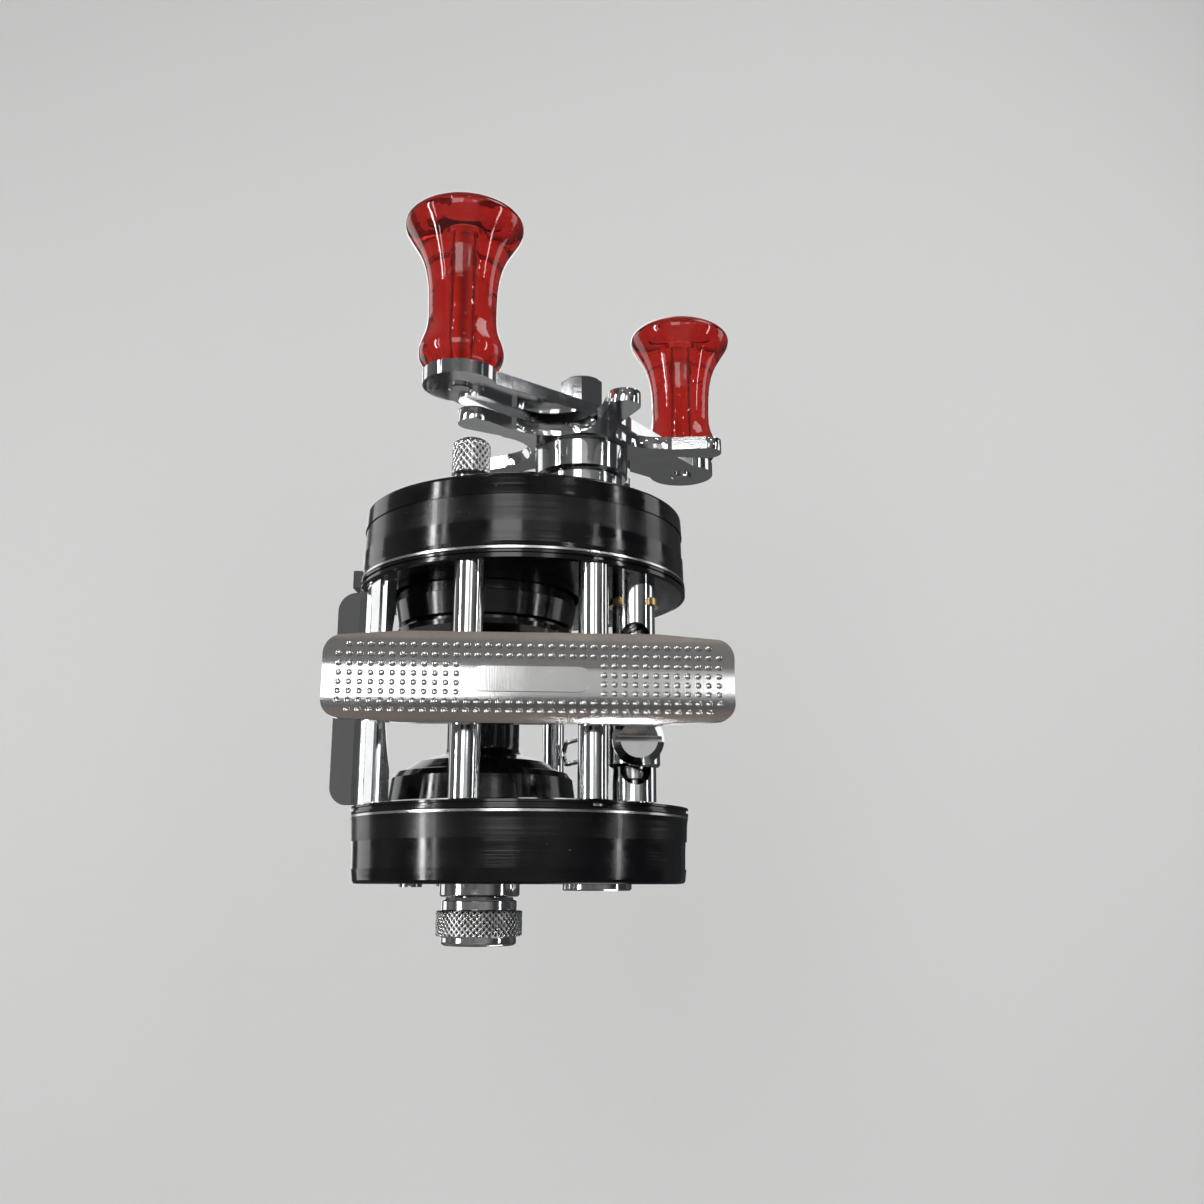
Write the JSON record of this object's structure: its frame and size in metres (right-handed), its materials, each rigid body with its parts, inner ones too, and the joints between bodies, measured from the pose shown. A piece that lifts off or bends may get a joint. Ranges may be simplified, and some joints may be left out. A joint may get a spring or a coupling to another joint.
{
  "type": "baitcasting reel",
  "caption": "Round-frame baitcasting reel with star drag, double handle with translucent knobs, levelwind line guide, thumb bar and free-spool button on a dimpled chrome foot.",
  "frame": {"origin": "underside of the reel foot, at its middle, where its long edges touch the rod seat", "axes": "+X along the spool axis to the handle, +Y along the rod towards its tip, +Z away from the rod"},
  "size_m": [0.1171, 0.0708, 0.0624],
  "materials": {
    "black_anodised": "gloss black anodised aluminium with fine turned lines",
    "chrome": "bright chrome plate with hairline wear",
    "foot_chrome": "bright chrome plate, dimpled, lightly scratched",
    "bright_trim": "polished edge",
    "red_acrylic": "translucent deep red acrylic",
    "grey_plastic": "dark grey moulded plastic",
    "brass": "turned brass",
    "steel": "machined stainless steel",
    "nylon": "natural nylon",
    "fibre": "drag washer fibre"
  },
  "bodies": {
    "root": {"frame_ring_tail": "black_anodised", "frame_ring_handle": "black_anodised", "lower_pillars": "chrome", "upper_rear_pillar": "chrome", "guide_rod": "chrome", "frame_screws": "steel", "reel_foot": "foot_chrome", "foot_saddles": "steel", "thumb_bar": "chrome", "handle_cover": "black_anodised", "tail_cover": "black_anodised", "trim_rings": "bright_trim", "cover_posts": "steel", "cover_thumbscrews": "chrome", "oil_cap": "chrome", "side_cap_disc": "chrome", "tension_collar": "chrome", "brake_ring": "brass", "spool_bearings": "steel", "gear_bridge": "brass", "bridge_pins": "steel", "yoke_springs": "steel", "shaft_boss": "chrome", "levelwind_tube": "chrome", "levelwind_clip": "brass", "worm_bushings": "brass", "idler_pin": "steel"},
    "crank": {"handle_shaft": "steel", "main_gear": "brass", "drag_stack": "fibre", "ratchet_wheel": "steel", "drag_hub": "chrome", "arm_spacer": "steel", "handle_arm": "chrome", "handle_nut": "chrome", "nut_keeper_screw": "brass", "knob_spindles": "chrome"},
    "star": {"star_wheel": "chrome"},
    "knob_a": {"knob_near": "red_acrylic"},
    "knob_b": {"knob_far": "red_acrylic"},
    "spool_body": {"spool": "black_anodised", "spool_shaft": "steel", "spool_cross_pins": "steel", "spool_gear": "brass"},
    "brake_a": {"brake_block_upper": "nylon"},
    "brake_b": {"brake_block_lower": "nylon"},
    "yoke": {"pinion_yoke": "steel"},
    "pinion": {"pinion_gear": "brass"},
    "button": {"free_spool_button": "grey_plastic"},
    "dog": {"anti_reverse_dog": "steel"},
    "idler": {"idler_gear": "nylon"},
    "worm": {"worm_shaft": "steel", "worm_gear": "nylon"},
    "guide": {"line_carriage": "chrome", "pawl_cap": "chrome", "wire_guide": "chrome"},
    "pawl_body": {"pawl": "steel"},
    "tension": {"tension_cap": "chrome", "thrust_pad": "nylon"}
  },
  "joints": [
    {"name": "handle_turn", "type": "hinge", "parent": "root", "child": "crank", "pos_m": [0.04, 0.00855, 0.0255], "axis": [1, 0, 0], "continuous": true},
    {"name": "star_drag_turn", "type": "hinge", "parent": "crank", "child": "star", "pos_m": [0.04, 0.00855, 0.0255], "axis": [1, 0, 0], "range_deg": [-180, 180]},
    {"name": "knob_near_spin", "type": "hinge", "parent": "crank", "child": "knob_a", "pos_m": [0.06, -0.01174, 0.00563], "axis": [1, 0, 0], "continuous": true},
    {"name": "knob_far_spin", "type": "hinge", "parent": "crank", "child": "knob_b", "pos_m": [0.06, 0.02884, 0.04537], "axis": [1, 0, 0], "continuous": true},
    {"name": "spool_spin", "type": "hinge", "parent": "root", "child": "spool_body", "pos_m": [0, -0.00754, 0.031], "axis": [1, 0, 0], "continuous": true},
    {"name": "brake_upper_slide", "type": "slide", "parent": "spool_body", "child": "brake_a", "axis": [0, 0, 1], "range_m": [0, 0.0007]},
    {"name": "brake_lower_slide", "type": "slide", "parent": "spool_body", "child": "brake_b", "axis": [0, 0, -1], "range_m": [0, 0.0007]},
    {"name": "button_press", "type": "slide", "parent": "root", "child": "button", "axis": [0, 1, 0], "range_m": [0, 0.002]},
    {"name": "yoke_slide", "type": "slide", "parent": "root", "child": "yoke", "axis": [1, 0, 0], "range_m": [0, 0.0013]},
    {"name": "pinion_spin", "type": "hinge", "parent": "yoke", "child": "pinion", "pos_m": [0.0265, -0.00754, 0.031], "axis": [1, 0, 0], "continuous": true},
    {"name": "dog_swing", "type": "hinge", "parent": "root", "child": "dog", "pos_m": [0.025, 0.00148, 0.01707], "axis": [1, 0, 0], "range_deg": [0, 20]},
    {"name": "idler_spin", "type": "hinge", "parent": "root", "child": "idler", "pos_m": [-0.0212, 0.00609, 0.02777], "axis": [1, 0, 0], "continuous": true},
    {"name": "worm_spin", "type": "hinge", "parent": "root", "child": "worm", "pos_m": [0, 0.0168, 0.018], "axis": [1, 0, 0], "continuous": true},
    {"name": "line_guide_slide", "type": "slide", "parent": "root", "child": "guide", "axis": [1, 0, 0], "range_m": [-0.0035, 0.0171]},
    {"name": "pawl_swivel", "type": "hinge", "parent": "guide", "child": "pawl_body", "pos_m": [-0.0076, 0.0168, 0.012], "axis": [0, 0, 1], "range_deg": [-25, 25]},
    {"name": "tension_cap_turn", "type": "hinge", "parent": "root", "child": "tension", "pos_m": [-0.035, -0.00754, 0.031], "axis": [1, 0, 0], "range_deg": [-180, 180]}
  ],
  "couplings": [
    {"joint": "spool_spin", "follows": "handle_turn", "ratio": -4.6667},
    {"joint": "pinion_spin", "follows": "handle_turn", "ratio": -4.6667},
    {"joint": "idler_spin", "follows": "handle_turn", "ratio": 1.2727},
    {"joint": "worm_spin", "follows": "handle_turn", "ratio": -4},
    {"joint": "yoke_slide", "follows": "button_press", "ratio": 0.65}
  ]
}
